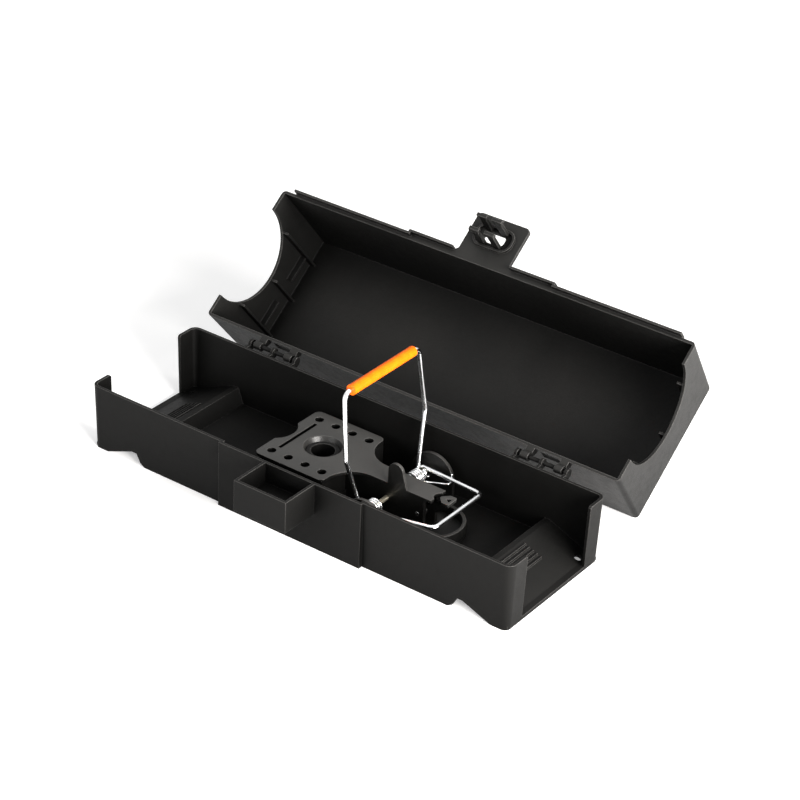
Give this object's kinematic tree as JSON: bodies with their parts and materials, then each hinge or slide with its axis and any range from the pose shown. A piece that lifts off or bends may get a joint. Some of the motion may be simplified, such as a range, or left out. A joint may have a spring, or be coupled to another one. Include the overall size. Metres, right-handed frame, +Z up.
{
  "type": "mouse trap station",
  "caption": "Covered mouse-trap station: a long plastic tunnel box with a hinged lid and a sprung snap trap with a grip handle inside.",
  "frame": {"origin": "centre of the tray on the surface it stands on", "axes": "+X along the tunnel, +Y towards the lid's hinge, +Z up"},
  "size_m": [0.265, 0.2137, 0.1161],
  "materials": {
    "black_plastic": "satin",
    "chrome_wire": "polished",
    "brass_rod": "satin",
    "orange_rubber": "satin"
  },
  "bodies": {
    "station": {"base_tray": "black_plastic", "trap_base": "black_plastic", "bait_cup": "black_plastic", "trigger_pin": "chrome_wire", "axle_rod": "brass_rod", "torsion_spring_front": "chrome_wire", "torsion_spring_rear": "chrome_wire"},
    "lid": {"station_lid": "black_plastic"},
    "bail": {"handle_wire": "chrome_wire", "striker_wire": "chrome_wire", "grip_sleeve": "orange_rubber"},
    "trigger": {"trigger_pedal": "black_plastic"}
  },
  "joints": [
    {"name": "lid_hinge", "type": "hinge", "parent": "station", "child": "lid", "pos_m": [0, 0.0471, 0.0372], "axis": [1, 0, 0], "range_deg": [0, 142]},
    {"name": "bail_pivot", "type": "hinge", "parent": "station", "child": "bail", "pos_m": [0.0307, 0.0044, 0.0156], "axis": [0, -1, 0], "range_deg": [0, 70.6], "stiffness_Nm_per_rad": 0.15, "springref_deg": -45.84, "deforming": ["torsion_spring_front", "torsion_spring_rear"]},
    {"name": "trigger_tilt", "type": "hinge", "parent": "station", "child": "trigger", "pos_m": [0.05, 0.0044, 0.014], "axis": [0, 1, 0], "range_deg": [0, 3], "stiffness_Nm_per_rad": 0.01, "springref_deg": -5.73}
  ]
}
